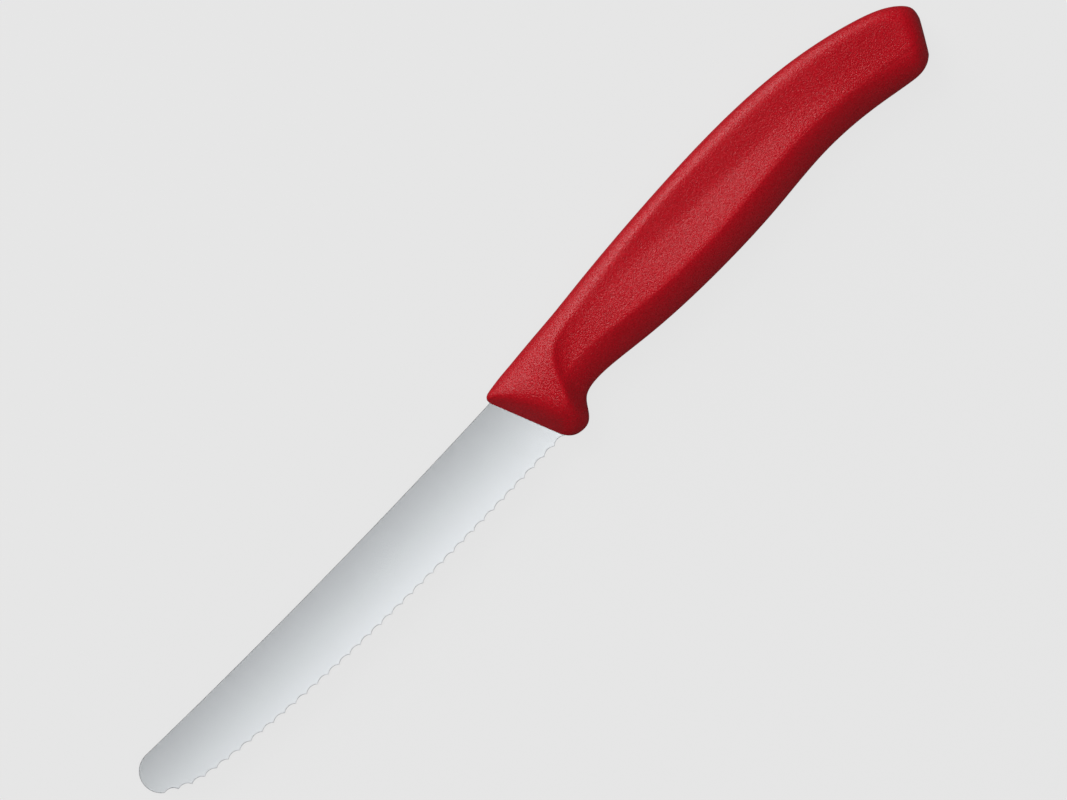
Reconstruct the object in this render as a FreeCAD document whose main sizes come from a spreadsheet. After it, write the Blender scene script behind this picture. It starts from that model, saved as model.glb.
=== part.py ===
import FreeCAD, Part
import math
import os

import Sketcher
from FreeCAD import Placement, Rotation, Vector

# A tomato knife lying on its side, left face up: the tip is at -X and the spine at +Y.
# It is two pieces: a stamped blade with its tang, and a handle moulded onto that tang.
# Sizes are in millimetres and degrees. While a piece is drawn, X runs from the tip along the knife's
# long axis, heights are above that axis, depths are below it, and Z is out of the blade's mid-plane.
BLADE_SIZES = {
    "blade_length": 110.5,
    "stock_thickness": 1.2,
    "edge_thickness": 0.28,
    "tip_radius": 4.5,
    "tip_wrap": 143.0,
    "spine_tip_height": 5.3,
    "spine_heel_height": 5.1,
    "spine_hollow": 0.75,
    "nose_run": 6.1,
    "nose_depth": 5.2,
    "belly_run": 14.5,
    "belly_depth": 7.2,
    "middle_run": 35.0,
    "middle_depth": 9.4,
    "low_before_heel": 30.0,
    "low_depth": 10.8,
    "heel_depth": 10.4,
    "scallop_pitch": 3.0,
    "scallop_depth": 0.55,
    "scallop_bevel": 30.0,
    "trim_allowance": 1.0,
}
TANG_SIZES = {
    "tang_length": 84.0,
    "tang_height": 9.0,
    "tang_centre_height": 0.5,
    "shoulder_run": 9.0,
    "shoulder_depth": 9.0,
    "shoulder_taper": 6.0,
    "window_length": 12.0,
    "window_height": 4.0,
}
WINDOW_COUNT = 2
HANDLE_SIZES = {
    "front_slant": 20.7,
    "front_top_inset": 2.0,
    "front_low_inset": 3.2,
    "front_side_inset": 2.4,
    "butt_slant": 31.0,
    "butt_rounding": 4.6,
    "butt_top_inset": 6.6,
    "butt_low_inset": 2.6,
    "butt_side_inset": 3.6,
}

# The handle's full cross-sections, from its front to its butt. Their planes fan out from the front's
# slant to the butt's, and each size is measured in its own plane. The gap is from the section before, or
# from the flat front. A section is four arcs: a crown between its two shoulders, a side from each shoulder
# to the ridge below it, and a belly between the ridges. A side's bow is negative where it is hollow.
STATION_SIZES = ("gap", "top_height", "shoulder_height", "shoulder_half", "ridge_height", "ridge_half",
                 "bottom_depth", "side_bow")
STATIONS = {
    "front": (2.6, 7.4, 3.0, 5.2, -6.0, 5.5, 13.0, 0.5),
    "guard": (2.0, 7.6, 3.2, 5.7, -5.6, 6.1, 12.9, 0.5),
    "guard_back": (3.5, 7.9, 4.2, 5.7, -4.0, 6.3, 10.4, 0.3),
    "notch": (5.9, 8.3, 5.2, 5.5, -1.4, 6.3, 7.1, -0.2),
    "grip": (5.9, 8.7, 5.8, 5.4, -1.2, 6.3, 7.4, -0.4),
    "waist": (8.1, 9.4, 7.2, 5.4, -1.7, 6.4, 8.2, -0.5),
    "palm": (24.4, 11.0, 8.4, 5.7, -3.2, 6.9, 9.35, -0.6),
    "swell": (16.3, 11.7, 8.9, 5.8, -2.5, 7.0, 9.05, -0.6),
    "hollow": (16.3, 10.5, 8.2, 5.7, -2.0, 6.9, 8.2, -0.5),
    "flare": (18.3, 6.6, 4.6, 5.5, -5.0, 6.6, 10.4, -0.2),
    "butt": (8.7, 2.8, -0.5, 5.0, -7.5, 5.7, 12.6, 0.2),
}

# Angles at which a quarter-round end has a section, from its flat towards its full size.
ROUNDING_STEPS = (0, 30, 60)

# How a sketch counts its own origin and the ends of a side, and the turn that sets one across the axis.
SKETCH_ORIGIN = (-1, 1)
START, END, CENTRE = 1, 2, 3
ACROSS = 90

# Formulas shared by several pieces.
FRONT_AXIS = "(Sizes.blade_length - Sizes.heel_depth * tan(Sizes.front_slant))"
BLANK_DEPTH = "(Sizes.low_depth + Sizes.trim_allowance)"

os.makedirs("parts", exist_ok=True)
doc = FreeCAD.newDocument("tomato_knife")


def add_sheet():
    """Write every driving size to one sheet, with its name as the cell's alias."""
    sizes = {**BLADE_SIZES, **TANG_SIZES, **HANDLE_SIZES}
    for station, values in STATIONS.items():
        for size_name, value in zip(STATION_SIZES, values):
            sizes[f"{station}_{size_name}"] = value
    sheet = doc.addObject("Spreadsheet::Sheet", "Sizes")
    for row, (alias, value) in enumerate(sizes.items(), start=1):
        sheet.set(f"A{row}", alias)
        sheet.set(f"B{row}", str(value))
        sheet.setAlias(f"B{row}", alias)
    doc.recompute()
    return sheet


sheet = add_sheet()


def size(formula):
    """Value of a formula of sheet sizes."""
    return float(sheet.evalExpression(formula))


def origin_plane(body, role):
    """One of a body's own origin planes."""
    return next(plane for plane in body.Origin.OriginFeatures if plane.Role == role)


def add_sketch(body, name, role):
    """An empty sketch on one of the body's origin planes."""
    sketch = body.newObject("Sketcher::SketchObject", name)
    sketch.AttachmentSupport = (origin_plane(body, role), "")
    sketch.MapMode = "FlatFace"
    return sketch


def place(sketch, direction, side, end, formula):
    """Tie the end or centre of a side, along one direction from the sketch's origin, to a formula."""
    distance = Sketcher.Constraint(direction, *SKETCH_ORIGIN, side, end, size(formula))
    sketch.setExpression(f"Constraints[{sketch.addConstraint(distance)}]", formula)


def add_side(sketch, start, end, bow):
    """Add a straight side, or an arc that stands out of its chord by the bow, and name its two ends."""
    if bow == 0:
        return sketch.addGeometry(Part.LineSegment(start, end)), START, END
    chord = end - start
    outward = Vector(chord.y, -chord.x, 0).normalize()
    middle = (start + end) * 0.5 + outward * bow
    if bow > 0:
        return sketch.addGeometry(Part.Arc(start, middle, end)), START, END
    return sketch.addGeometry(Part.Arc(end, middle, start)), END, START


def draw_loop(sketch, corners, bows=None):
    """Draw a closed loop, counter-clockwise through corners given as pairs of formulas.

    A side named in bows, by the number of the corner it starts from, is an arc. It stands out of its
    chord by that formula, or into the loop where the formula is negative.
    """
    bows = bows or {}
    points = [Vector(size(x), size(y), 0) for x, y in corners]
    following = points[1:] + points[:1]
    sides = []
    for number, (start, end) in enumerate(zip(points, following)):
        sides.append(add_side(sketch, start, end, size(bows.get(number, "0"))))
    for number, (side, first_end, _) in enumerate(sides):
        before, _, last_end = sides[number - 1]
        sketch.addConstraint(Sketcher.Constraint("Coincident", before, last_end, side, first_end))
        x, y = corners[number]
        place(sketch, "DistanceX", side, first_end, x)
        place(sketch, "DistanceY", side, first_end, y)
    for number, bow in bows.items():
        side = sides[number][0]
        x, y = corners[number]
        next_x, next_y = corners[(number + 1) % len(corners)]
        chord_x = f"(({next_x}) - ({x}))"
        chord_y = f"(({next_y}) - ({y}))"
        chord = f"sqrt({chord_x}^2 + {chord_y}^2)"
        inset = f"({chord}^2 / 4 - ({bow})^2) / (2 * ({bow}) * {chord})"
        centre_x = f"(({x}) + ({next_x})) / 2 - {chord_y} * {inset}"
        centre_y = f"(({y}) + ({next_y})) / 2 + {chord_x} * {inset}"
        if abs(size(chord_y)) > abs(size(chord_x)):
            place(sketch, "DistanceX", side, CENTRE, centre_x)
        else:
            place(sketch, "DistanceY", side, CENTRE, centre_y)


def add_pad(body, sketch, thickness):
    """Pad a sketch of the body equally to both sides of its plane."""
    pad = body.newObject("PartDesign::Pad", f"{body.Name}_pad")
    pad.Profile = sketch
    pad.SideType = "Symmetric"
    pad.setExpression("Length", thickness)


def front_at(height):
    """Formula of the X at which the handle's slanted front stands at a height."""
    return f"({FRONT_AXIS} - ({height}) * tan(Sizes.front_slant))"


def half_thickness(height):
    """Formula of half the ground blade's thickness, which falls evenly from the spine to the edge."""
    thinned = "(Sizes.stock_thickness - Sizes.edge_thickness) / 2"
    ground_height = "(Sizes.spine_tip_height + Sizes.low_depth)"
    above_edge = f"(({height}) + Sizes.low_depth)"
    return f"(Sizes.edge_thickness / 2 + {thinned} * {above_edge} / {ground_height})"


def tip_end():
    """Formulas of the point where the round tip ends and the scallops begin."""
    x = "Sizes.tip_radius * (1 - sin(Sizes.tip_wrap))"
    y = "Sizes.spine_tip_height - Sizes.tip_radius * (1 - cos(Sizes.tip_wrap))"
    return x, y


def make_ground_blade():
    """The blade in front of the handle: the stamped outline, ground thinner from spine to edge."""
    body = doc.addObject("PartDesign::Body", "ground_blade")
    outline = add_sketch(body, "blade_outline", "XY_Plane")
    corners = [
        (front_at("Sizes.spine_heel_height"), "Sizes.spine_heel_height"),
        ("Sizes.tip_radius", "Sizes.spine_tip_height"),
        tip_end(),
        (tip_end()[0], f"-{BLANK_DEPTH}"),
        (front_at(f"-{BLANK_DEPTH}"), f"-{BLANK_DEPTH}"),
    ]
    tip_bow = "Sizes.tip_radius * (1 - cos(Sizes.tip_wrap / 2))"
    draw_loop(outline, corners, {0: "-Sizes.spine_hollow", 1: tip_bow})
    add_pad(body, outline, "Sizes.stock_thickness")
    grind = add_sketch(body, "blade_grind", "YZ_Plane")
    thin = half_thickness(f"-{BLANK_DEPTH}")
    left_face = [
        ("Sizes.spine_tip_height", "Sizes.stock_thickness / 2"),
        ("Sizes.spine_tip_height", "Sizes.stock_thickness"),
        (f"-{BLANK_DEPTH}", "Sizes.stock_thickness"),
        (f"-{BLANK_DEPTH}", thin),
    ]
    right_face = [(y, f"-({z})") for y, z in reversed(left_face)]
    draw_loop(grind, left_face)
    draw_loop(grind, right_face)
    doc.recompute()
    pocket = body.newObject("PartDesign::Pocket", "blade_faces")
    pocket.Profile = grind
    pocket.Type = "ThroughAll"
    pocket.Reversed = True
    return body


def make_tang():
    """The part of the stamping inside the handle, at full thickness, with windows for the plastic."""
    body = doc.addObject("PartDesign::Body", "tang")
    outline = add_sketch(body, "tang_outline", "XY_Plane")
    low = "(Sizes.tang_centre_height - Sizes.tang_height / 2)"
    high = "(Sizes.tang_centre_height + Sizes.tang_height / 2)"
    end = f"({FRONT_AXIS} + Sizes.tang_length)"
    shoulder = f"({FRONT_AXIS} + Sizes.shoulder_run)"
    corners = [
        (front_at("Sizes.spine_heel_height"), "Sizes.spine_heel_height"),
        (front_at("-Sizes.shoulder_depth"), "-Sizes.shoulder_depth"),
        (shoulder, "-Sizes.shoulder_depth"),
        (f"{shoulder} + Sizes.shoulder_taper", low),
        (f"{end} - Sizes.tang_height / 2", low),
        (f"{end} - Sizes.tang_height / 2", high),
    ]
    draw_loop(outline, corners, {4: "Sizes.tang_height / 2"})
    first = f"({shoulder} + Sizes.shoulder_taper)"
    for number in range(WINDOW_COUNT):
        share = (number + 0.5) / WINDOW_COUNT
        centre = f"({first} + {share} * ({end} - {first}))"
        left = f"{centre} - (Sizes.window_length - Sizes.window_height) / 2"
        right = f"{centre} + (Sizes.window_length - Sizes.window_height) / 2"
        floor = "Sizes.tang_centre_height - Sizes.window_height / 2"
        roof = "Sizes.tang_centre_height + Sizes.window_height / 2"
        round_end = "Sizes.window_height / 2"
        draw_loop(outline, [(left, floor), (right, floor), (right, roof), (left, roof)],
                  {1: round_end, 3: round_end})
    add_pad(body, outline, "Sizes.stock_thickness")
    return body


def make_scallop_cutter():
    """What the grinding wheel takes off: all that lies below a row of arcs along the edge line.

    The cusps are spaced evenly along a curve through the edge's points. The arcs are drawn on the plane
    of the left face of the stock and carried to the right face at the bevel's angle, so that the scallops
    are ground from the right and their sharp outline lies in the left face.
    """
    edge_formulas = [
        tip_end(),
        ("Sizes.nose_run", "-Sizes.nose_depth"),
        ("Sizes.belly_run", "-Sizes.belly_depth"),
        ("Sizes.middle_run", "-Sizes.middle_depth"),
        ("Sizes.blade_length - Sizes.low_before_heel", "-Sizes.low_depth"),
        ("Sizes.blade_length", "-Sizes.heel_depth"),
    ]
    edge_line = Part.BSplineCurve()
    edge_line.interpolate([Vector(size(x), size(y), 0) for x, y in edge_formulas])
    edge = edge_line.toShape()
    scallop_count = round(edge.Length / size("Sizes.scallop_pitch"))
    stock = size("Sizes.stock_thickness")
    rise = 1 / math.tan(math.radians(size("Sizes.scallop_bevel")))
    cusps = []
    for point in edge.discretize(Number=scallop_count + 1):
        left_face = size(half_thickness(str(point.y)))
        cusps.append(Vector(point.x, point.y - (stock / 2 - left_face) * rise, stock / 2))
    sides = []
    for start, end in zip(cusps, cusps[1:]):
        chord = end - start
        inward = Vector(-chord.y, chord.x, 0).normalize()
        middle = (start + end) * 0.5 + inward * size("Sizes.scallop_depth")
        sides.append(Part.Arc(start, middle, end).toShape())
    depth = stock + size("Sizes.trim_allowance")
    before_tip = -size("Sizes.trim_allowance")
    past_heel = size(front_at(f"-{BLANK_DEPTH} - Sizes.trim_allowance"))
    floor = -size(BLANK_DEPTH) - depth * rise
    around = [
        cusps[-1],
        Vector(past_heel, cusps[-1].y, stock / 2),
        Vector(past_heel, floor, stock / 2),
        Vector(before_tip, floor, stock / 2),
        Vector(before_tip, cusps[0].y, stock / 2),
        cusps[0],
    ]
    for start, end in zip(around, around[1:]):
        sides.append(Part.LineSegment(start, end).toShape())
    cutter = doc.addObject("Part::Feature", "scallop_cutter")
    cutter.Shape = Part.Face(Part.Wire(sides)).extrude(Vector(0, depth * rise, -depth))
    return cutter


def make_blade():
    """The stamping in one piece, with its scalloped edge."""
    stamping = doc.addObject("Part::Fuse", "stamping")
    stamping.Base = make_ground_blade()
    stamping.Tool = make_tang()
    blade = doc.addObject("Part::Cut", "blade")
    blade.Label = "blade"
    blade.Base = stamping
    blade.Tool = make_scallop_cutter()
    doc.recompute()
    return blade


def add_section(station, stand, slant, drawn_in):
    """One cross-section of the handle, on a plane that stands on the axis and is turned by a slant.

    At an end of the handle the section is drawn in at its top, foot and sides, by the share drawn_in of
    that end's insets. Its corners keep their proportions.
    """
    sketch = doc.addObject("Sketcher::SketchObject", f"{station}_section")
    sketch.Placement = Placement(Vector(size(stand), 0, 0), Rotation(ACROSS + size(slant), 0, ACROSS))
    sketch.setExpression("Placement.Base.x", stand)
    sketch.setExpression("Placement.Rotation.Yaw", f"{ACROSS} + {slant}")
    own = {name: f"Sizes.{station}_{name}" for name in STATION_SIZES}
    top = own["top_height"]
    foot = f"(-{own['bottom_depth']})"
    narrower = "1"
    if drawn_in != "0":
        top = f"({top} - {drawn_in} * Sizes.{station}_top_inset)"
        foot = f"({foot} + {drawn_in} * Sizes.{station}_low_inset)"
        narrower = f"(1 - {drawn_in} * Sizes.{station}_side_inset / {own['ridge_half']})"
    shorter = f"({top} - {foot}) / ({own['top_height']} + {own['bottom_depth']})"
    shoulder = f"({foot} + ({own['shoulder_height']} + {own['bottom_depth']}) * {shorter})"
    ridge = f"({foot} + ({own['ridge_height']} + {own['bottom_depth']}) * {shorter})"
    shoulder_half = f"({own['shoulder_half']} * {narrower})"
    ridge_half = f"({own['ridge_half']} * {narrower})"
    corners = [
        (shoulder, f"-{shoulder_half}"),
        (shoulder, shoulder_half),
        (ridge, ridge_half),
        (ridge, f"-{ridge_half}"),
    ]
    crown_bow = f"({top} - {shoulder})"
    side_bow = f"({own['side_bow']} * {narrower})"
    belly_bow = f"({ridge} - {foot})"
    draw_loop(sketch, corners, {0: crown_bow, 1: side_bow, 2: belly_bow, 3: side_bow})
    return sketch


def handle_stops():
    """Each section of the handle in order: its station, where it stands and the share it is drawn in by.

    The first and last stations have more sections, which round that end over a quarter turn.
    """
    stand = FRONT_AXIS
    stops = []
    for station in STATIONS:
        stand = f"{stand} + Sizes.{station}_gap"
        if station == "front":
            for angle in ROUNDING_STEPS:
                rounded = f"{stand} - Sizes.front_gap * cos({angle})"
                stops.append((station, rounded, f"(1 - sin({angle}))"))
        stops.append((station, stand, "0"))
        if station == "butt":
            for angle in reversed(ROUNDING_STEPS):
                rounded = f"{stand} + Sizes.butt_rounding * cos({angle})"
                stops.append((station, rounded, f"(1 - sin({angle}))"))
    return stops


def make_handle(blade):
    """The moulding: a loft through its sections, less the steel that it was cast on."""
    stops = handle_stops()
    length = f"(({stops[-1][1]}) - {FRONT_AXIS})"
    turn = "(Sizes.front_slant + Sizes.butt_slant)"
    sections = []
    for station, stand, drawn_in in stops:
        slant = f"Sizes.front_slant - {turn} * (({stand}) - {FRONT_AXIS}) / {length}"
        sections.append(add_section(station, stand, slant, drawn_in))
    moulding = doc.addObject("Part::Loft", "moulding")
    moulding.Sections = sections
    moulding.Solid = True
    moulding.MaxDegree = 3
    handle = doc.addObject("Part::Cut", "handle")
    handle.Label = "handle"
    handle.Base = moulding
    handle.Tool = blade
    doc.recompute()
    return handle


def lay_on_side(pieces):
    """Move the drawn pieces so that the knife lies on Z = 0 with its box centred over the origin."""
    box = Part.makeCompound([piece.Shape for piece in pieces]).optimalBoundingBox(False)
    shift = Vector(-box.Center.x, -box.Center.y, -box.ZMin)
    for name in ("ground_blade", "tang", "moulding", "scallop_cutter"):
        doc.getObject(name).Placement = Placement(shift, Rotation())
    doc.recompute()


def write_pieces(pieces):
    """Check the whole document, then write each piece to a file with its name."""
    for item in doc.Objects:
        if "Invalid" in item.State or "Error" in item.State:
            raise RuntimeError(f"{item.Label} did not build: {item.State}")
    for piece in pieces:
        if piece.Shape.isNull() or not piece.Shape.isValid():
            raise RuntimeError(f"{piece.Label} has no valid shape")
    for piece in pieces:
        piece.Shape.exportStep(f"parts/{piece.Label}.step")
        box = piece.Shape.optimalBoundingBox(False)
        print(f"{piece.Label}: {len(piece.Shape.Solids)} solid, {piece.Shape.Volume:.1f} mm3, "
              f"{box.XLength:.2f} x {box.YLength:.2f} x {box.ZLength:.2f} mm")


blade = make_blade()
handle = make_handle(blade)
lay_on_side([blade, handle])
write_pieces([blade, handle])
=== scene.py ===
import math

import bmesh
import bpy
import numpy as np
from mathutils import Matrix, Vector


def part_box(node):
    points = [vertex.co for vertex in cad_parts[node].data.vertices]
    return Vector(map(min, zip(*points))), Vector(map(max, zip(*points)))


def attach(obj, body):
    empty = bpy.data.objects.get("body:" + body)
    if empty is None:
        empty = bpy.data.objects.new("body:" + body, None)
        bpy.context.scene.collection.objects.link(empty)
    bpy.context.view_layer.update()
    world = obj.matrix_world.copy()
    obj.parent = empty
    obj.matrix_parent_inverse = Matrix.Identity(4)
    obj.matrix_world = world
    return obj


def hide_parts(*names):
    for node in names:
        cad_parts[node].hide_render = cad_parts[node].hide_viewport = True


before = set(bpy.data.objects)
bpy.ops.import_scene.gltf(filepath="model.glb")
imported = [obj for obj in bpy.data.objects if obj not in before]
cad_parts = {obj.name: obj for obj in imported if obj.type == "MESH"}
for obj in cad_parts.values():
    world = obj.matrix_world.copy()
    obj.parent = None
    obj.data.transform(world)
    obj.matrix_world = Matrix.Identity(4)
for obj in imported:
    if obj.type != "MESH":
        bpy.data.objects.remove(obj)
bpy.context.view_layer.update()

# Blade: a stamping of stainless steel, hollow ground from a full spine down to a thin wavy edge.
# The scallops are cut by a wheel from the right side only, and both faces are brushed across to a satin.
# Its tang runs on inside the handle, where the plastic flows through two windows and locks it in place.
MM = 0.001
STOCK_THICKNESS = 1.2
EDGE_THICKNESS = 0.28
HOLLOW_GRIND = 0.106
BLADE_LENGTH = 110.5
TIP_RADIUS = 4.5
TIP_WRAP = 143.0
SPINE_TIP_HEIGHT = 5.3
SPINE_HEEL_HEIGHT = 5.1
SPINE_HOLLOW = 0.75
LOW_DEPTH = 10.8
HEEL_DEPTH = 10.4
EDGE_LINE = ((6.1, -5.2), (14.5, -7.2), (35.0, -9.4), (80.5, -LOW_DEPTH), (BLADE_LENGTH, -HEEL_DEPTH))
SCALLOP_PITCH = 3.0
SCALLOP_DEPTH = 0.55
SCALLOP_FADE_COLUMNS = 6
BEVEL_ANGLE = 30.0
BEVEL_STEPS = (0.2, 0.5, 0.8)
HONED_WIDTH = 0.12
HONED_DROP = 0.04
HONED_STEPS = (0.5, 0.85, 1.0)
# How much less the honed facet along the scallops is painted dark than the other rims.
HONED_LESS_PAINTED_DARK = 0.6
RIM_RADIUS = 0.09
RIM_ANGLES = (30, 60, 90)
FRONT_SLANT = 20.7
FRONT_AXIS = BLADE_LENGTH - HEEL_DEPTH * math.tan(math.radians(FRONT_SLANT))
HIDDEN_RUN = 0.6
TANG_LENGTH = 84.0
TANG_HEIGHT = 9.0
TANG_CENTRE = 0.5
SHOULDER_RUN = 9.0
SHOULDER_DEPTH = 9.0
SHOULDER_TAPER = 6.0
WINDOW_LENGTH = 12.0
WINDOW_HEIGHT = 4.0
WINDOW_SHARES = (0.25, 0.75)
BAND_ROWS = 11
MERGE_DISTANCE = 0.002
BLADE_SHARP_ANGLE = 12
STEEL_DARK = (0.60, 0.624, 0.643, 1)
STEEL_LIGHT = (0.67, 0.695, 0.715, 1)
# Painted shade: the rims' dark steel stands for the dark reflection along the spine, tip and scallops.
STEEL_RIM_PAINTED_DARK = (0.15, 0.155, 0.16, 1)
BRUSH_LINES = (5200.0, 45.0, 200.0)
BRUSH_STREAKS = (900.0, 25.0, 100.0)
BRUSH_STRENGTH = 0.25
BRUSH_DEPTH = 0.01
LINE_TONE = 0.35
STREAK_TONE = 0.25
LEAST_TONE = 0.2
SATIN_ROUGHNESS = 0.22
LINE_ROUGHNESS = 0.05
STREAK_ROUGHNESS = 0.02
RIM_ROUGHNESS = 0.2
MIX_COLOUR_OUTPUT = 2

# The pieces are drawn in millimetres and degrees. X runs from the tip along the knife's long axis, Y is the
# height above that axis, and Z is out of the blade's mid-plane. Depths are below the axis.
blade_low, blade_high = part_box("blade")
drawing_origin = np.array((
    blade_low.x,
    blade_high.y - SPINE_TIP_HEIGHT * MM,
    (blade_low.z + blade_high.z) / 2,
))


def spline(knots, values, at):
    """Natural cubic spline: the curve through the values that bends least, with straight ends."""
    knots = np.asarray(knots, float)
    values = np.asarray(values, float)
    gaps = np.diff(knots)
    slopes = np.diff(values, axis=0) / gaps[:, None]
    inner = np.arange(1, len(knots) - 1)
    system = np.eye(len(knots))
    system[inner, inner - 1] = gaps[:-1]
    system[inner, inner] = 2 * (gaps[:-1] + gaps[1:])
    system[inner, inner + 1] = gaps[1:]
    load = np.zeros_like(values)
    load[1:-1] = 6 * np.diff(slopes, axis=0)
    bends = np.linalg.solve(system, load)
    piece = np.clip(np.searchsorted(knots, at, side="right") - 1, 0, len(gaps) - 1)
    gap = gaps[piece][:, None]
    before = (at - knots[piece])[:, None]
    after = gap - before
    cubic = (bends[piece] * after ** 3 + bends[piece + 1] * before ** 3) / (6 * gap)
    line = (values[piece] * after + values[piece + 1] * before) / gap
    return cubic + line - gap * (bends[piece] * after + bends[piece + 1] * before) / 6


def runs_to(points):
    """How far along a line of points each of them lies: the running sum of the steps between them."""
    return np.concatenate([[0], np.cumsum(np.linalg.norm(np.diff(points, axis=0), axis=1))])


def along_line(points, runs, at):
    """The places on a line of points at the runs asked for, straight between its points."""
    return np.stack([np.interp(at, runs, points[:, side]) for side in (0, 1)], axis=-1)


def left_of(steps):
    """Unit vectors square to the steps of an outline, on their left: the step turned by 90 degrees."""
    turned = np.stack([-steps[:, 1], steps[:, 0]], axis=-1)
    return turned / np.linalg.norm(turned, axis=1)[:, None]


def arc(centre, radius, start, end, count):
    """Points evenly round a circle between two angles in degrees, and the unit vectors to its centre."""
    angles = np.radians(np.linspace(start, end, count))
    outward = np.stack([np.cos(angles), np.sin(angles)], axis=-1)
    return np.asarray(centre) + radius * outward, -outward


def scalloped_edge(start, steps, samples=2000):
    """The wavy edge: arcs of one depth over chords that part a spline from the tip into equal runs.

    Each point is its chord's point plus the chord's inward normal times the arc's rise there. Also
    returns the spline's inward normals.
    """
    corners = np.vstack([start, EDGE_LINE])
    corner_runs = runs_to(corners)
    line = spline(corner_runs, corners, np.linspace(0, corner_runs[-1], samples))
    runs = runs_to(line)
    count = round(runs[-1] / SCALLOP_PITCH)
    cusps = along_line(line, runs, np.linspace(0, runs[-1], count + 1))
    chords = np.diff(cusps, axis=0)
    spans = np.linalg.norm(chords, axis=1)
    share = np.arange(steps) / steps
    radius = (spans ** 2 / 4 + SCALLOP_DEPTH ** 2) / (2 * SCALLOP_DEPTH)
    rise = np.sqrt(radius[:, None] ** 2 - (spans[:, None] * (share - 0.5)) ** 2)
    rise = rise - (radius - SCALLOP_DEPTH)[:, None]
    waves = cusps[:-1, None] + chords[:, None] * share[:, None] + left_of(chords)[:, None] * rise[..., None]
    points = np.vstack([waves.reshape(-1, 2), cusps[-1:]])
    smooth = along_line(line, runs, np.linspace(0, runs[-1], len(points)))
    return points, left_of(np.gradient(smooth, axis=0))


def front_at(height):
    """X of the handle's slanted front at a height."""
    return FRONT_AXIS - height * math.tan(math.radians(FRONT_SLANT))


def blade_rails(tip_steps=28, scallop_steps=12):
    """The blade's two outlines from the foremost point of the tip: over the spine, and along the edge.

    Both have the same number of points, so that each pair spans the blade. The tip is a circle, the spine
    a parabola between its ends, and the edge a row of arcs. Each outline comes with its inward normals.
    """
    centre = (TIP_RADIUS, SPINE_TIP_HEIGHT - TIP_RADIUS)
    over, over_in = arc(centre, TIP_RADIUS, 180, 90, tip_steps)
    under, under_in = arc(centre, TIP_RADIUS, 180, 90 + TIP_WRAP, tip_steps)
    edge, edge_in = scalloped_edge(under[-1], scallop_steps)
    share = np.linspace(0, 1, len(edge))
    spine_x = TIP_RADIUS + (front_at(SPINE_HEEL_HEIGHT) - TIP_RADIUS) * share
    spine_y = SPINE_TIP_HEIGHT + (SPINE_HEEL_HEIGHT - SPINE_TIP_HEIGHT) * share
    spine_y = spine_y - 4 * SPINE_HOLLOW * share * (1 - share)
    spine = np.stack([spine_x, spine_y], axis=-1)
    spine_in = np.tile((0.0, -1.0), (len(spine), 1))
    upper = (np.vstack([over, spine[1:]]), np.vstack([over_in, spine_in[1:]]))
    lower = (np.vstack([under, edge[1:]]), np.vstack([under_in, edge_in[1:]]))
    return upper, lower, tip_steps


def tang_rails(window_steps=13, end_steps=12):
    """The tang's two outlines, from the handle's front to the middle of the round end.

    Each comes with its inward normals. Also returns half the height of the window at each pair of points: a
    stadium's, or nought outside.
    """
    end = FRONT_AXIS + TANG_LENGTH
    shoulder = FRONT_AXIS + SHOULDER_RUN
    straight = shoulder + SHOULDER_TAPER
    radius = TANG_HEIGHT / 2
    quarter = np.radians(np.linspace(0, 90, window_steps))
    from_middle = WINDOW_LENGTH / 2 - WINDOW_HEIGHT / 2 * (1 - np.cos(quarter))
    opening = WINDOW_HEIGHT / 2 * np.sin(quarter)
    stations, heights = [[straight]], [[0.0]]
    for share in WINDOW_SHARES:
        middle = straight + share * (end - straight)
        stations += [middle - from_middle, middle + from_middle[::-1]]
        heights += [opening, opening[::-1]]
    columns = np.concatenate(stations)
    over_end, over_end_in = arc((end - radius, TANG_CENTRE), radius, 90, 0, end_steps)
    under_end, under_end_in = arc((end - radius, TANG_CENTRE), radius, -90, 0, end_steps)
    upper = np.vstack([
        [(front_at(SPINE_HEEL_HEIGHT) + HIDDEN_RUN, SPINE_HEEL_HEIGHT), (shoulder, TANG_CENTRE + radius)],
        np.stack([columns, np.full_like(columns, TANG_CENTRE + radius)], axis=-1),
        over_end,
    ])
    lower = np.vstack([
        [(front_at(-HEEL_DEPTH) + HIDDEN_RUN, -HEEL_DEPTH), (shoulder, -SHOULDER_DEPTH)],
        np.stack([columns, np.full_like(columns, TANG_CENTRE - radius)], axis=-1),
        under_end,
    ])
    before_end = len(upper) - end_steps
    upper_in = np.vstack([np.tile((0.0, -1.0), (before_end, 1)), over_end_in])
    lower_in = np.vstack([np.tile((0.0, 1.0), (before_end, 1)), under_end_in])
    window = np.concatenate([[0, 0], *heights, np.zeros(end_steps)])
    return (upper, upper_in), (lower, lower_in), window


def half_thickness(height, ground):
    """Half the stamping's thickness at a height.

    Where it is ground, that is the straight taper from spine to edge less a hollow that is deepest halfway.
    Elsewhere it is the full stock's.
    """
    taper = (height + LOW_DEPTH) / (SPINE_TIP_HEIGHT + LOW_DEPTH)
    straight = (EDGE_THICKNESS + (STOCK_THICKNESS - EDGE_THICKNESS) * taper) / 2
    return np.where(ground, straight - 4 * HOLLOW_GRIND * taper * (1 - taper), STOCK_THICKNESS / 2)


def face_rows(side, upper, lower, window, ground):
    """One face of the stamping as evenly spaced rows from its upper line to its lower one.

    They form two bands, which meet halfway down, and each draws back from there by half the window's height.
    """
    middle = (upper + lower) / 2
    opening = np.stack([np.zeros_like(window), window], axis=-1)
    share = np.linspace(0, 1, BAND_ROWS)[:, None, None]
    upper_band = upper + (middle + opening - upper) * share
    lower_band = middle - opening + (lower - middle + opening) * share
    flat = np.concatenate([upper_band, lower_band])
    return np.dstack([flat, side * half_thickness(flat[..., 1], ground)])


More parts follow.
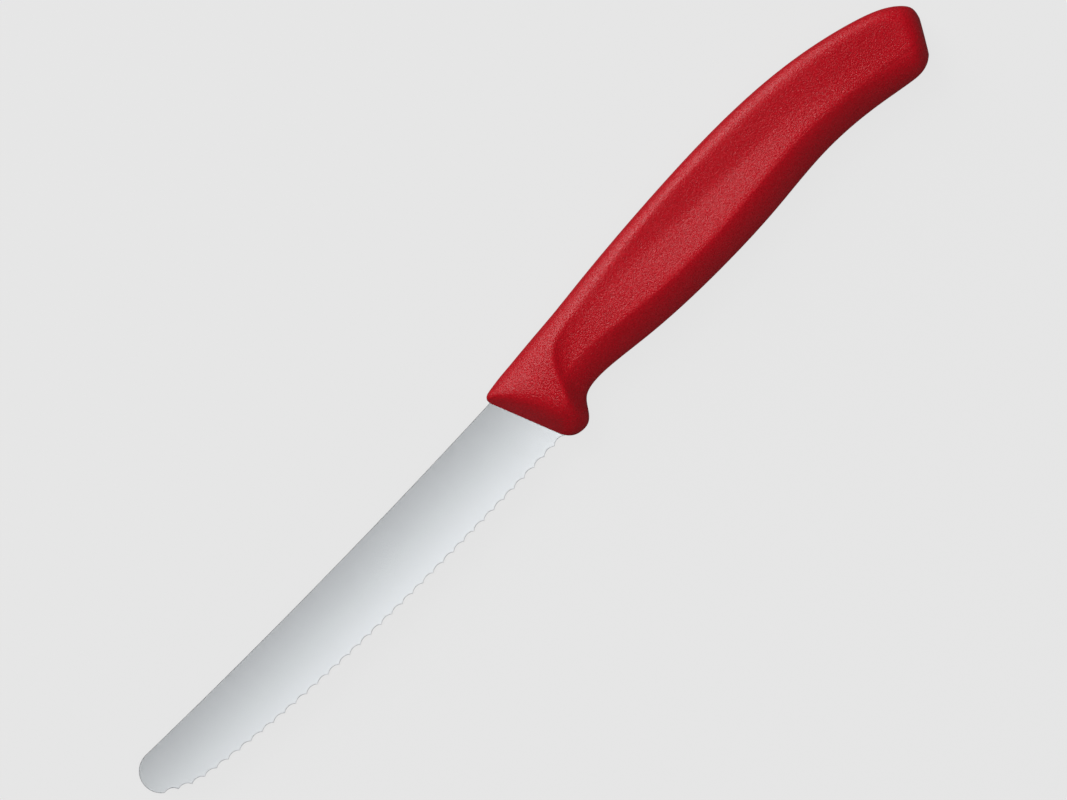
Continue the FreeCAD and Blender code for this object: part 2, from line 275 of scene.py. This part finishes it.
def rim_rows(outline, inward, inset, height):
    """Rows of a rim: points set in from an outline, each row by its own inset and at its own height."""
    flat = outline + inward * np.broadcast_to(inset, height.shape)[..., None]
    return np.dstack([flat, height])


def blend(plain, scalloped, share):
    """A value that goes from the plain rim's to the scalloped edge's as the share goes from 0 to 1."""
    return (1 - share) * plain + share * scalloped


def stamping_grid():
    """The whole stamping as rows of points round its section, one column for each pair of outline points.

    The rows run down the left face, round the lower rim, up the right face and round the upper rim. The
    rims are quarter rounds; along the scallops the lower one becomes a small honed facet on the left and the
    wheel's bevel on the right. Also returns how dark each point is painted: a painted shade on the rims that
    stands for the dark reflection along the spine, the tip and the scallops. It also returns the window's
    half height at each column.
    """
    upper, lower, tip_columns = blade_rails()
    tang_upper, tang_lower, tang_window = tang_rails()
    blade_columns = len(upper[0])
    top, top_in = np.vstack([upper[0], tang_upper[0]]), np.vstack([upper[1], tang_upper[1]])
    low, low_in = np.vstack([lower[0], tang_lower[0]]), np.vstack([lower[1], tang_lower[1]])
    window = np.concatenate([np.zeros(blade_columns), tang_window])
    column = np.arange(len(top))
    # The grind runs on to the tang's first column, which the handle hides.
    ground = column <= blade_columns
    scalloped = np.clip((column - tip_columns) / SCALLOP_FADE_COLUMNS, 0, 1) * ground
    edge_half = half_thickness(low[:, 1], ground)
    bevel = (2 * edge_half - HONED_DROP) / math.tan(math.radians(BEVEL_ANGLE))
    bevel_in = blend(low_in, np.array((0.0, 1.0)), scalloped[:, None])
    top_line = top + top_in * RIM_RADIUS
    left_line = low + low_in * blend(RIM_RADIUS, HONED_WIDTH, scalloped)[:, None]
    right_line = low + bevel_in * blend(RIM_RADIUS, bevel, scalloped)[:, None]
    left = face_rows(1, top_line, left_line, window, ground)
    right = face_rows(-1, top_line, right_line, window, ground)[::-1]

    turn = np.radians(RIM_ANGLES)[:, None]
    wall_in = RIM_RADIUS * (1 - np.sin(turn))
    wall_drop = RIM_RADIUS * (1 - np.cos(turn))
    honed = np.array(HONED_STEPS)[:, None]
    bevelled = np.array(BEVEL_STEPS)[:, None]
    left_edge, right_edge = left[-1, :, 2], right[0, :, 2]
    sharp_edge = left_edge - HONED_DROP
    left_rim = rim_rows(
        low, low_in,
        blend(wall_in, HONED_WIDTH * (1 - honed), scalloped),
        left_edge - blend(wall_drop, HONED_DROP * honed, scalloped))
    right_rim = rim_rows(
        low, bevel_in,
        blend(wall_in[::-1], bevel * bevelled, scalloped),
        blend(right_edge + wall_drop[::-1], sharp_edge + (right_edge - sharp_edge) * bevelled, scalloped))
    right_spine = rim_rows(top, top_in, wall_in, right[-1, :, 2] + wall_drop)
    left_spine = rim_rows(top, top_in, wall_in[::-1], left[0, :, 2] - wall_drop[::-1])
    grid = np.concatenate([left, left_rim, right_rim, right, right_spine, left_spine])
    # Painted shade on the rims: full along the spine and tip, less on the honed facet, none on the bevel.
    painted_dark_rim = np.concatenate([
        np.zeros(left.shape[:2]),
        np.tile(1 - HONED_LESS_PAINTED_DARK * scalloped, (len(RIM_ANGLES), 1)),
        np.tile(1 - scalloped, (len(RIM_ANGLES), 1)),
        np.zeros(right.shape[:2]),
        np.ones((2 * len(RIM_ANGLES), len(top))),
    ])
    return grid, painted_dark_rim, window


def numbers(grid):
    """A number for each point of a grid, in its rows and columns."""
    rows, columns = grid.shape[:2]
    return np.arange(rows * columns).reshape(rows, columns)


def quads_between(rows, following):
    """Quads that join each row of point numbers to the row that follows it, one for each pair of columns."""
    return np.stack([rows[:, :-1], rows[:, 1:], following[:, 1:], following[:, :-1]], axis=-1)


def stamping_faces(index, window):
    """Quads between each row and the next right round the section.

    The rows on either side of the windows meet along the middle, so nothing is drawn between them; inside
    a window each is joined to the same row on the other face, as the window's wall.
    """
    left_roof, left_floor = BAND_ROWS - 1, BAND_ROWS
    first_right = 2 * BAND_ROWS + 2 * len(RIM_ANGLES)
    right_floor, right_roof = first_right + left_roof, first_right + left_floor
    around = quads_between(index, np.roll(index, -1, axis=0))
    around = np.delete(around, (left_roof, right_floor), axis=0)
    in_window = (window[:-1] > 0) | (window[1:] > 0)
    walls = quads_between(index[[left_roof, right_floor]], index[[right_roof, left_floor]])[:, in_window]
    return np.vstack([around.reshape(-1, 4), walls.reshape(-1, 4)])


def make_piece(name, points, faces, marks, sharp_angle):
    """A mesh object from points in millimetres, with doubles merged and faces turned outwards.

    Marks are named numbers, one for each point, that the piece's material reads.
    """
    mesh = bpy.data.meshes.new(name)
    mesh.from_pydata((points * MM + drawing_origin).tolist(), [], faces.tolist())
    for mark, values in marks.items():
        layer = mesh.attributes.new(mark, "FLOAT", "POINT")
        layer.data.foreach_set("value", np.ascontiguousarray(values, np.float32))
    shell = bmesh.new()
    shell.from_mesh(mesh)
    bmesh.ops.remove_doubles(shell, verts=shell.verts, dist=MERGE_DISTANCE * MM)
    bmesh.ops.recalc_face_normals(shell, faces=shell.faces)
    shell.to_mesh(mesh)
    shell.free()
    mesh.polygons.foreach_set("use_smooth", np.ones(len(mesh.polygons), bool))
    mesh.set_sharp_from_angle(angle=math.radians(sharp_angle))
    piece = bpy.data.objects.new(name, mesh)
    bpy.context.scene.collection.objects.link(piece)
    return piece


class Shade:
    """An output of a tree of shader nodes. Arithmetic on it adds the Math node for that operation."""

    def __init__(self, tree, socket=None):
        self.tree = tree
        self.socket = socket

    def feed(self, node, inputs):
        """Fill a node's sockets by name or number: a Shade is linked, and anything else is a value."""
        for name, value in inputs.items():
            if isinstance(value, Shade):
                self.tree.links.new(value.socket, node.inputs[name])
            else:
                node.inputs[name].default_value = value

    def node(self, kind, settings, inputs, output=0):
        """Add a node of a kind: its settings are set first, then its sockets' values or links."""
        node = self.tree.nodes.new(kind)
        for name, value in settings.items():
            setattr(node, name, value)
        self.feed(node, inputs)
        return Shade(self.tree, node.outputs[output])

    def math(self, operation, first, second):
        """Add the Math node of an operation on two values or outputs."""
        return self.node("ShaderNodeMath", {"operation": operation}, {0: first, 1: second})

    def __add__(self, other):
        return self.math("ADD", self, other)

    def __mul__(self, other):
        return self.math("MULTIPLY", self, other)

    def __sub__(self, other):
        return self.math("SUBTRACT", self, other)

    def __rsub__(self, other):
        return self.math("SUBTRACT", other, self)

    __radd__ = __add__
    __rmul__ = __mul__


def new_finish(name):
    """A material, its shader and the nodes that a finish is written with."""
    material = bpy.data.materials.new(name)
    material.use_nodes = True
    shader = material.node_tree.nodes["Principled BSDF"]
    return material, shader, Shade(material.node_tree)


def noise(nodes, place, scale, detail):
    """Noise of one size at a place on the piece."""
    return nodes.node("ShaderNodeTexNoise", {}, {"Vector": place, "Scale": scale, "Detail": detail})


def colour_between(nodes, share, first, second):
    """The colour at a share of the way from one colour to another."""
    return nodes.node(
        "ShaderNodeMix", {"data_type": "RGBA"}, {"Factor": share, "A": first, "B": second},
        MIX_COLOUR_OUTPUT)


def blade_steel():
    """Satin stainless steel: fine brush lines across the blade, over a faint broader unevenness.

    The lines are noise stretched along Y. The rims are duller, and painted darker: a painted shade that
    stands for the dark reflection along the spine, the tip and the scallops.
    """
    material, steel, nodes = new_finish("blade_steel")
    place = nodes.node("ShaderNodeTexCoord", {}, {}, "Object")
    fine_place = nodes.node("ShaderNodeMapping", {}, {"Vector": place, "Scale": BRUSH_LINES})
    broad_place = nodes.node("ShaderNodeMapping", {}, {"Vector": place, "Scale": BRUSH_STREAKS})
    lines = noise(nodes, fine_place, scale=1.0, detail=3.0)
    streaks = noise(nodes, broad_place, scale=1.0, detail=2.0)
    painted_dark_rim = nodes.node("ShaderNodeAttribute", {"attribute_name": "painted_dark_rim"}, {}, "Fac")
    tone = LINE_TONE * lines + STREAK_TONE * streaks + LEAST_TONE
    brushed = colour_between(nodes, tone, STEEL_DARK, STEEL_LIGHT)
    satin = SATIN_ROUGHNESS + LINE_ROUGHNESS * lines + STREAK_ROUGHNESS * streaks
    bump = nodes.node(
        "ShaderNodeBump", {}, {"Strength": BRUSH_STRENGTH, "Distance": BRUSH_DEPTH * MM, "Height": lines})
    nodes.feed(steel, {
        # The base colour's dark rims are a painted shade, for the dark reflection along them.
        "Base Color": colour_between(nodes, painted_dark_rim, brushed, STEEL_RIM_PAINTED_DARK),
        "Roughness": satin + RIM_ROUGHNESS * painted_dark_rim,
        "Normal": bump,
        "Metallic": 1.0,
    })
    return material


stamping, painted_dark_rim, window = stamping_grid()
blade = make_piece(
    "blade_finished", stamping.reshape(-1, 3), stamping_faces(numbers(stamping), window),
    {"painted_dark_rim": painted_dark_rim.ravel()}, BLADE_SHARP_ANGLE)
blade.data.materials.append(blade_steel())
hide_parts("blade")
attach(blade, "root")

# Handle: one red polypropylene moulding, cast round the tang in a single shot, with a fine eroded grain.
# A full guard stands at its front, each side is scooped out for the thumb and the fingers, and the butt
# is cut off at a slant. The mould's two halves meet in the blade's plane and leave a faint line.

# A station's sizes: gap from the station before, height of the top, depth of the bottom, height of the ridge,
# half thickness of the body and of the grip, roundness of the crown and of the belly, depth of the scoop and
# height of its valley. The first gap is from the handle's flat front.
STATIONS = {
    "front": (2.6, 7.3, 12.95, -6.7, 6.85, 5.0, 2.1, 1.5, 0.2, 3.5),
    "guard": (2.0, 7.55, 12.85, -6.7, 6.9, 5.0, 2.1, 1.5, 0.2, 3.5),
    "guard_back": (3.5, 7.8, 10.5, -5.4, 6.9, 5.0, 2.15, 1.5, 0.2, 3.5),
    "guard_heel": (3.0, 8.0, 8.05, -3.1, 6.85, 5.0, 2.3, 1.5, 0.2, 3.6),
    "neck": (4.6, 8.3, 7.2, -1.6, 6.7, 5.1, 2.7, 1.5, 0.25, 4.0),
    "grip": (5.4, 8.62, 7.5, -1.5, 6.5, 5.35, 2.8, 1.45, 0.35, 4.2),
    "waist": (7.5, 9.27, 8.35, -2.4, 6.5, 6.0, 3.2, 1.4, 0.75, 4.6),
    "palm": (23.0, 10.88, 9.5, -3.95, 7.04, 7.04, 4.0, 1.45, 1.75, 3.4),
    "swell": (17.0, 11.4, 9.2, -3.1, 7.09, 7.04, 4.4, 1.45, 1.4, 2.7),
    "hollow": (16.5, 10.45, 8.45, -2.7, 7.3, 6.7, 5.2, 1.45, 0.57, 1.7),
    "flare": (16.5, 7.0, 10.3, -4.9, 7.15, 6.05, 5.2, 1.5, 0.1, -1.5),
    "butt": (9.0, 3.45, 12.2, -6.5, 6.4, 5.6, 4.5, 1.8, 0.0, -4.0),
    "butt_turn": (3.0, 1.5, 12.6, -6.8, 5.6, 5.2, 3.6, 1.9, 0.0, -5.0),
    "butt_rim": (2.0, -0.4, 12.2, -6.4, 3.9, 3.7, 2.8, 1.9, 0.0, -5.0),
    "butt_flat": (1.2, -3.2, 11.0, -6.4, 1.2, 1.2, 2.4, 1.9, 0.0, -5.0),
}
CORNER_ANGLES = (0, 30, 60)
CORNER_INSETS = (2.0, 2.8)
NOSE_HALF = 0.65
NOSE_SLOPE = 1.45
NOSE_POWER = 4
BUTT_SLANT = 31.0
SCOOP_FRONT = 113.5
SCOOP_LEAN = 0.3
SCOOP_TOP_MARGIN = 2.2
SCOOP_BORDER = 3.65
SCOOP_WALL = 3.1
SCOOP_RISE_FRONT = 1.9
SCOOP_RISE_REAR = 0.02
SCOOP_RISE_FADE = 4.0
SCOOP_EASE = 0.8
SCOOP_BACK = 0.095
VALLEY_EASE = 0.15
CREASE_POWER = 40
LEAST_HALF = 0.001
LEAST_DISTANCE = 0.01
PARTING_RIDGE = 0.04
WEAR_SPREAD = 0.5
SECTION_COUNT = 360
QUARTER_ROWS = 64
CAP_COLUMNS = 10
HANDLE_SHARP_ANGLE = 50
RED_DEEP = (0.35, 0.0015, 0.006, 1)
RED_BRIGHT = (0.515, 0.004, 0.013, 1)
PIT_SCALE = 2900.0
GRIT_SCALE = 6000.0
DRIFT_SCALE = 60.0
PIT_SHARE = 0.65
GRAIN_MEAN = 0.5
# Painted light: how strongly the grain sets the colour, pits darker as painted shade, bumps lighter as
# painted glints.
PIT_SHADE_AND_GLINT_CONTRAST = 2.4
GRAIN_DEPTH = 0.24
DRIFT_TONE = 0.25
# Colour lightened along the crease: partly rub wear, partly a painted sheen.
WEAR_AND_SHEEN_TONE = 0.1
MEAN_TONE = 0.35
WEAR_SMOOTHING = 0.4
MATTE_ROUGHNESS = 0.26
GRAIN_ROUGHNESS = 0.1
WEAR_POLISH = 0.03
PLASTIC_IOR = 1.49
GLOSS_LEVEL = 0.01
GLOSS_TINT = 45.0


def soft_lesser(first, second, power):
    """The lesser of two thicknesses, blended where they are alike.

    Each is raised to minus the power, and their sum to minus one over the power.
    """
    first, second = np.maximum(first, LEAST_HALF), np.maximum(second, LEAST_HALF)
    return (first ** -power + second ** -power) ** (-1 / power)


def handle_sections():
    """Where the handle's sections stand and their sizes, one row for each section, evenly along the skin.

    Every size follows one spline through the stations. Before them come sections that round off the front's
    upper and lower corners: they draw in over a quarter round as they move out.
    """
    sizes = np.array(list(STATIONS.values()))
    stations = np.column_stack([FRONT_AXIS + np.cumsum(sizes[:, 0]), sizes[:, 1:]])
    turn = np.radians(CORNER_ANGLES)
    corner = np.tile(stations[0], (len(turn), 1))
    corner[:, 0] -= sizes[0, 0] * np.cos(turn)
    corner[:, 1:3] -= (1 - np.sin(turn))[:, None] * CORNER_INSETS
    knots = np.vstack([corner, stations])
    runs = runs_to(knots[:, :5])
    return spline(runs, knots, np.linspace(0, runs[-1], SECTION_COUNT))


def scoop_wall(x, height, top):
    """How much thicker the grip gets towards the scoop's border.

    The border bends as a hyperbola does, from a line behind the guard into one under the crown: on it the
    product of the distances from both lines over their sum is one value. The wall rises in a straight slope
    that eases in at its foot, and its steepness fades with the distance behind the guard.
    """
    behind_guard = np.maximum(x - SCOOP_FRONT - SCOOP_LEAN * height, LEAST_DISTANCE)
    below_crown = np.maximum(top + SCOOP_TOP_MARGIN - height, LEAST_DISTANCE)
    both = behind_guard + below_crown
    gradient = np.hypot(behind_guard ** 2, below_crown ** 2) / both ** 2
    from_border = (behind_guard * below_crown / both - SCOOP_BORDER) / gradient
    fade = np.exp(-behind_guard / SCOOP_RISE_FADE)
    rise = SCOOP_RISE_REAR + (SCOOP_RISE_FRONT - SCOOP_RISE_REAR) * fade
    return rise * SCOOP_EASE * np.logaddexp(0, (SCOOP_WALL - from_border) / SCOOP_EASE)


def scoop_floor(height, ridge, half, scoop, valley):
    """Half the grip's thickness above its ridge, without the wall.

    It is the greater of two planes, a flank that falls from the ridge to the valley and a back that rises
    from it, joined as a hyperbola is.
    """
    flank = half - scoop * (height - ridge) / (valley - ridge)
    back = half - scoop + SCOOP_BACK * (height - valley)
    return (flank + back) / 2 + np.hypot((flank - back) / 2, VALLEY_EASE)


def handle_grid():
    """The handle's skin as rows round its section and columns along it, and how worn each point is.

    A section's body is two half superellipses that meet at its ridge: a crown above and a belly below. The
    grip is thinner, with a like belly and a scooped floor above it, and rises to its wall. The skin is the
    softened lesser of grip and body, and at the front at most a slope that starts at the blade. The sections
    fan out from the front's slant to the butt's. Each end closes with a flat, and a low ridge runs round
    where the mould's halves meet. Wear is greatest along the crease where grip and body meet; the colour
    also lightens there, partly rub wear and partly a painted sheen.
    """
    stand, top, bottom, ridge, body, half, crown, belly, scoop, valley = handle_sections().T
    from_front = stand - stand[0]
    slant = np.radians(FRONT_SLANT - (FRONT_SLANT + BUTT_SLANT) * from_front / from_front[-1])
    share = np.linspace(0, 1, QUARTER_ROWS)[:, None]
    upward = 1 - (1 - share) ** crown
    downward = 1 - (1 - share) ** belly
    crown_round = ((1 - upward ** crown) ** (1 / crown))[::-1]
    belly_round = ((1 - downward ** belly) ** (1 / belly))[1:]
    height = np.vstack([(ridge + (top - ridge) * upward)[::-1], (ridge - (ridge + bottom) * downward)[1:]])
    height[0] += PARTING_RIDGE
    height[-1] -= PARTING_RIDGE
    x = stand - height * np.sin(slant)
    y = height * np.cos(slant)
    outer = body * np.vstack([crown_round, belly_round])
    floor_half = scoop_floor(height[:QUARTER_ROWS], ridge, half, scoop, valley)
    grip = np.vstack([floor_half, half * belly_round]) + scoop_wall(x, height, top)
    nose = NOSE_HALF + NOSE_SLOPE * from_front
    side = soft_lesser(soft_lesser(grip, outer, CREASE_POWER), nose, NOSE_POWER)
    side[[0, -1]] = 0
    left = np.stack([x, y, side], axis=-1)
    right = np.stack([x, y, -side], axis=-1)[1:-1][::-1]
    skin = np.vstack([left, right])
    # The wear mark also lightens the colour here, partly as a painted sheen.
    crease = np.exp(-np.abs(grip - outer) / WEAR_SPREAD)
    wear = np.vstack([crease, crease[1:-1][::-1]])
    shrink = np.linspace(0, 1, CAP_COLUMNS, endpoint=False)
    front_cap = np.repeat(skin[:, :1], CAP_COLUMNS, axis=1)
    front_cap[..., 2] *= shrink
    butt_cap = np.repeat(skin[:, -1:], CAP_COLUMNS, axis=1)
    butt_cap[..., 2] *= shrink[::-1]
    skin = np.concatenate([front_cap, skin, butt_cap], axis=1)
    return skin, np.pad(wear, ((0, 0), (CAP_COLUMNS, CAP_COLUMNS)))


def handle_plastic():
    """Matte red polypropylene: an eroded grain of small pits, softened where hands rub the ridges.

    The grain is two noises of different sizes in a bump. Colour drifts a little over the handle. The grain
    is also painted into the colour: darker in the pits, a painted shade, and lighter on the bumps, painted
    glints. Along the crease the colour is lighter, partly rub wear and partly a painted sheen. Such a grain
    scatters light that only grazes it, so there is no bright outline: a low gloss level takes away the
    grazing reflection, and its tint brings the facing one back.
    """
    material, plastic, nodes = new_finish("handle_plastic")
    place = nodes.node("ShaderNodeTexCoord", {}, {}, "Object")
    pits = noise(nodes, place, PIT_SCALE, detail=1.0)
    grit = noise(nodes, place, GRIT_SCALE, detail=0.0)
    drift = noise(nodes, place, DRIFT_SCALE, detail=2.0)
    wear = nodes.node("ShaderNodeAttribute", {"attribute_name": "wear"}, {}, "Fac")
    grain = PIT_SHARE * pits + (1 - PIT_SHARE) * grit
    # The colour is partly painted light: pits darker (painted shade), bumps lighter (painted glints), and a
    # lighter crease that is partly rub wear and partly a painted sheen.
    tone = PIT_SHADE_AND_GLINT_CONTRAST * (grain - GRAIN_MEAN) + DRIFT_TONE * drift + WEAR_AND_SHEEN_TONE * wear + MEAN_TONE
    relief = grain * (1 - WEAR_SMOOTHING * wear)
    bump = nodes.node("ShaderNodeBump", {}, {"Strength": 1.0, "Distance": GRAIN_DEPTH * MM, "Height": relief})
    nodes.feed(plastic, {
        "Base Color": colour_between(nodes, tone, RED_DEEP, RED_BRIGHT),
        "Roughness": MATTE_ROUGHNESS + GRAIN_ROUGHNESS * grain - WEAR_POLISH * wear,
        "Normal": bump,
        "IOR": PLASTIC_IOR,
        "Specular IOR Level": GLOSS_LEVEL,
        "Specular Tint": (GLOSS_TINT, GLOSS_TINT, GLOSS_TINT, 1.0),
    })
    return material


skin, wear = handle_grid()
ring = numbers(skin)
handle = make_piece(
    "handle_moulded", skin.reshape(-1, 3), quads_between(ring, np.roll(ring, -1, axis=0)).reshape(-1, 4),
    {"wear": wear.ravel()}, HANDLE_SHARP_ANGLE)
handle.data.materials.append(handle_plastic())
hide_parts("handle")
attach(handle, "root")

# Stage: a pale matt floor and soft lights. A key panel over the spine's side, an overhead diffuser and a low
# fill light the handle. The blade, which mirrors, has a narrow strip overhead and the four walls of a tent.
# The camera looks straight down from far enough to flatten the view, with the knife across the frame.
FLOOR_SIZE = 30.0
FLOOR_TONE = 0.2
FLOOR_ROUGHNESS = 0.9
FLOOR_GLOW_TONE = 0.94
FLOOR_GLOW_SEEN = 0.8
FLOOR_GLOW_MIRRORED = 0.03
FILL_LEVEL = 0.06
BACKDROP_SEEN = 0.7
BACKDROP_MIRRORED = 0.02
# A light's turn from the spine's side and its elevation in degrees, its distance, width and height in metres,
# its power in watts, and whether it shows in what mirrors.
PLASTIC_LIGHTS = {
    "key_panel": (0.0, 30.0, 2.3, 1.4, 2.6, 44.0, True),
    "top_diffuser": (0.0, 78.0, 2.6, 1.2, 3.0, 46.0, False),
    "belly_fill": (180.0, 20.0, 2.3, 1.6, 0.8, 5.5, False),
}
BLADE_LIGHTS = {
    "blade_strip": (0.0, 85.5, 2.3, 2.4, 0.62, 9.1, True),
    "tent_spine_side": (0.0, 33.0, 2.3, 4.4, 2.4, 25.0, True),
    "tent_tip_end": (90.0, 33.0, 2.3, 4.4, 2.4, 8.0, True),
    "tent_edge_side": (180.0, 33.0, 2.3, 4.4, 2.4, 20.0, True),
    "tent_butt_end": (270.0, 33.0, 2.3, 4.4, 2.4, 27.0, True),
}
CAMERA_HEIGHT = 1.205
CAMERA_LENS = 200.0
CAMERA_SENSOR = 36.0
CAMERA_ROLL = -45.77
CAMERA_TARGET = (0.00006, -0.00039, 0.007)


def grey(level):
    """An even grey as a colour."""
    return (level, level, level, 1)


def ray_share(nodes, seen, mirrored):
    """One level for what the camera sees, another for what a glossy surface mirrors, and none otherwise."""
    by_camera = nodes.node("ShaderNodeLightPath", {}, {}, "Is Camera Ray")
    by_gloss = nodes.node("ShaderNodeLightPath", {}, {}, "Is Glossy Ray")
    return seen * by_camera + mirrored * by_gloss


def add_lights(lights, group_name, lit):
    """Rectangular lamps that face the origin and light only the objects of one group."""
    group = bpy.data.collections.new(group_name)
    for piece in lit:
        group.objects.link(piece)
    for name, (turn, elevation, distance, width, height, power, in_mirrors) in lights.items():
        lamp = bpy.data.lights.new(name, "AREA")
        lamp.shape = "RECTANGLE"
        lamp.size, lamp.size_y = width, height
        lamp.energy = power
        light = bpy.data.objects.new(name, lamp)
        lean, swing = math.radians(elevation), math.radians(turn)
        out = math.cos(lean)
        light.location = Vector((-math.sin(swing) * out, math.cos(swing) * out, math.sin(lean))) * distance
        light.rotation_euler = (lean - math.pi / 2, 0.0, swing)
        light.visible_camera = False
        light.visible_glossy = in_mirrors
        light.light_linking.receiver_collection = group
        bpy.context.scene.collection.objects.link(light)


floor_corners = np.array([(-1, -1, 0), (1, -1, 0), (1, 1, 0), (-1, 1, 0)]) * FLOOR_SIZE / 2
floor_mesh = bpy.data.meshes.new("floor")
floor_mesh.from_pydata(floor_corners.tolist(), [], [(0, 1, 2, 3)])
floor = bpy.data.objects.new("floor", floor_mesh)
bpy.context.scene.collection.objects.link(floor)
floor_paint, floor_shader, floor_nodes = new_finish("floor_paint")
floor_nodes.feed(floor_shader, {
    "Base Color": grey(FLOOR_TONE),
    "Roughness": FLOOR_ROUGHNESS,
    "Specular IOR Level": 0.0,
})
floor_glow = floor_nodes.node("ShaderNodeEmission", {}, {"Color": grey(FLOOR_GLOW_TONE)})
floor_look = floor_nodes.node("ShaderNodeMixShader", {}, {
    0: ray_share(floor_nodes, FLOOR_GLOW_SEEN, FLOOR_GLOW_MIRRORED),
    1: Shade(floor_paint.node_tree, floor_shader.outputs[0]),
    2: floor_glow,
})
floor_nodes.feed(floor_paint.node_tree.nodes["Material Output"], {"Surface": floor_look})
floor.data.materials.append(floor_paint)

add_lights(PLASTIC_LIGHTS, "lit_as_plastic", [handle, floor])
add_lights(BLADE_LIGHTS, "lit_as_blade", [blade])

world = bpy.data.worlds.new("studio")
bpy.context.scene.world = world
world.use_nodes = True
sky_nodes = Shade(world.node_tree)
sky_nodes.feed(world.node_tree.nodes["Background"], {
    "Color": grey(1),
    "Strength": FILL_LEVEL + ray_share(sky_nodes, BACKDROP_SEEN, BACKDROP_MIRRORED),
})

camera_data = bpy.data.cameras.new("camera")
camera_data.lens = CAMERA_LENS
camera_data.sensor_width = CAMERA_SENSOR
camera = bpy.data.objects.new("camera", camera_data)
camera.location = Vector(CAMERA_TARGET) + Vector((0.0, 0.0, CAMERA_HEIGHT))
camera.rotation_euler = (0.0, 0.0, math.radians(CAMERA_ROLL))
bpy.context.scene.collection.objects.link(camera)
bpy.context.scene.camera = camera
bpy.context.scene.view_settings.view_transform = "Standard"
